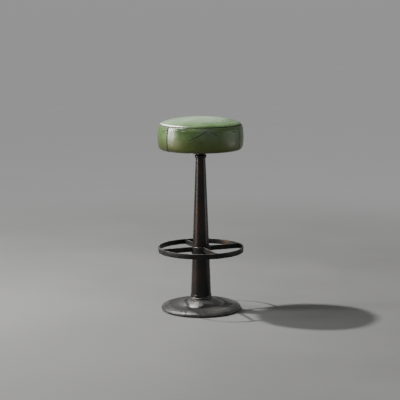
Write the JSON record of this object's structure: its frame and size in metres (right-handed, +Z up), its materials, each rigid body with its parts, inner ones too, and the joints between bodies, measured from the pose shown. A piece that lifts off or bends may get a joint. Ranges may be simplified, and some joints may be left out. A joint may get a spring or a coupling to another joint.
{
  "type": "leather pedestal stool",
  "caption": "Round leather drum seat turning on a tapered steel column, with a flat-bar foot ring on spokes and a heavy domed round cast base.",
  "frame": {"origin": "on the column's axis at the floor, under the middle of the base", "axes": "+Z up; X and Y run along the four spokes of the foot ring"},
  "size_m": [0.345, 0.345, 0.78],
  "materials": {
    "leather": "smooth semi-gloss, slightly mottled olive green",
    "foam": "open-cell upholstery foam",
    "plywood": "raw birch plywood",
    "dust_cloth": "thin black non-woven cloth",
    "column_paint": "glossy near-black bronze",
    "black_iron": "satin black with worn edges",
    "cast_base": "rough dark grey casting, rubbed along its high places",
    "steel": "plain turned steel",
    "zinc": "bright zinc plated",
    "bronze": "sintered bronze",
    "rubber": "matt black rubber"
  },
  "bodies": {
    "pedestal": {"base_casting": "cast_base", "floor_pads": "rubber", "base_bolt": "zinc", "base_bolt_washer": "zinc", "base_lock_washer": "zinc", "column": "column_paint", "column_foot_ferrule": "column_paint", "column_foot_plug": "steel", "footrest_ring": "black_iron", "footrest_spoke_1": "black_iron", "footrest_spoke_2": "black_iron", "footrest_spoke_3": "black_iron", "footrest_spoke_4": "black_iron", "footrest_hub": "black_iron", "hub_set_screws": "zinc", "column_top_collar": "column_paint", "bearing_housing": "steel", "upper_bush": "bronze", "lower_bush": "bronze", "thrust_race_lower": "steel", "thrust_balls": "steel", "thrust_cage": "bronze"},
    "seat": {"thrust_race_upper": "steel", "spindle": "steel", "spindle_washer": "zinc", "spindle_nut": "zinc", "split_pin": "zinc", "seat_plate": "black_iron", "seat_bolts": "zinc", "seat_bolt_washers": "zinc", "t_nuts": "zinc", "seat_board": "plywood", "foam_core": "foam", "foam_topper": "foam", "leather_top_panel": "leather", "leather_side_panel_1": "leather", "leather_side_panel_2": "leather", "leather_side_panel_3": "leather", "dust_cover": "dust_cloth"}
  },
  "joints": [
    {"name": "seat_swivel", "type": "hinge", "parent": "pedestal", "child": "seat", "pos_m": [0, 0, 0.6431], "axis": [0, 0, 1], "continuous": true}
  ]
}
